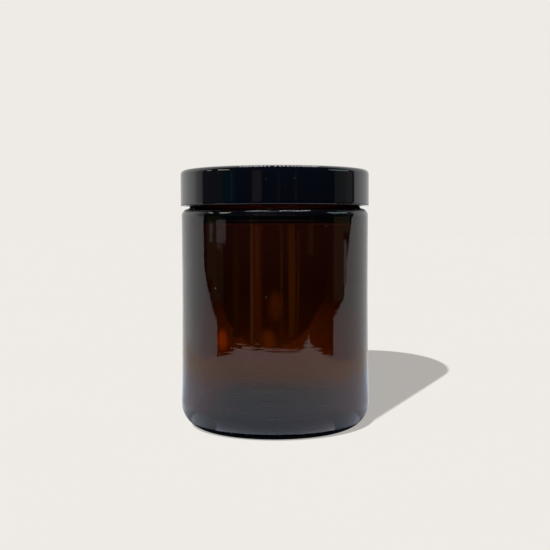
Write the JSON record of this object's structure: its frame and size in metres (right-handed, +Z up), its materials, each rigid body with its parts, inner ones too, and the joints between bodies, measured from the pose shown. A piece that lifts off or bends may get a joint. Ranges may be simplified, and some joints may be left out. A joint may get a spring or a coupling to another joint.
{
  "type": "cosmetic cream jar",
  "caption": "Straight-sided amber glass cream jar with a black screw lid, a foam wad and its sealing film.",
  "frame": {"origin": "centre of the flat ring that the jar stands on", "axes": "+Z up along the jar's axis, towards the lid; the glass thread starts at +X"},
  "size_m": [0.0668, 0.0668, 0.0913],
  "materials": {
    "amber_glass": "gloss",
    "black_resin": "gloss",
    "white_foam": "matte",
    "barrier_film": "satin"
  },
  "bodies": {
    "jar": {"glass_jar": "amber_glass"},
    "liner": {"liner_core": "white_foam", "liner_facing": "barrier_film"},
    "lid": {"lid": "black_resin"}
  },
  "joints": [
    {"name": "lid_lift", "type": "slide", "parent": "jar", "child": "liner", "axis": [0, 0, 1], "range_m": [0, 0.01693]},
    {"name": "lid_unscrew", "type": "hinge", "parent": "liner", "child": "lid", "pos_m": [0, 0, 0.0784], "axis": [0, 0, 1], "range_deg": [0, 1440]}
  ],
  "couplings": [
    {"joint": "lid_lift", "follows": "lid_unscrew", "m_per_rad": 0.0006737}
  ]
}
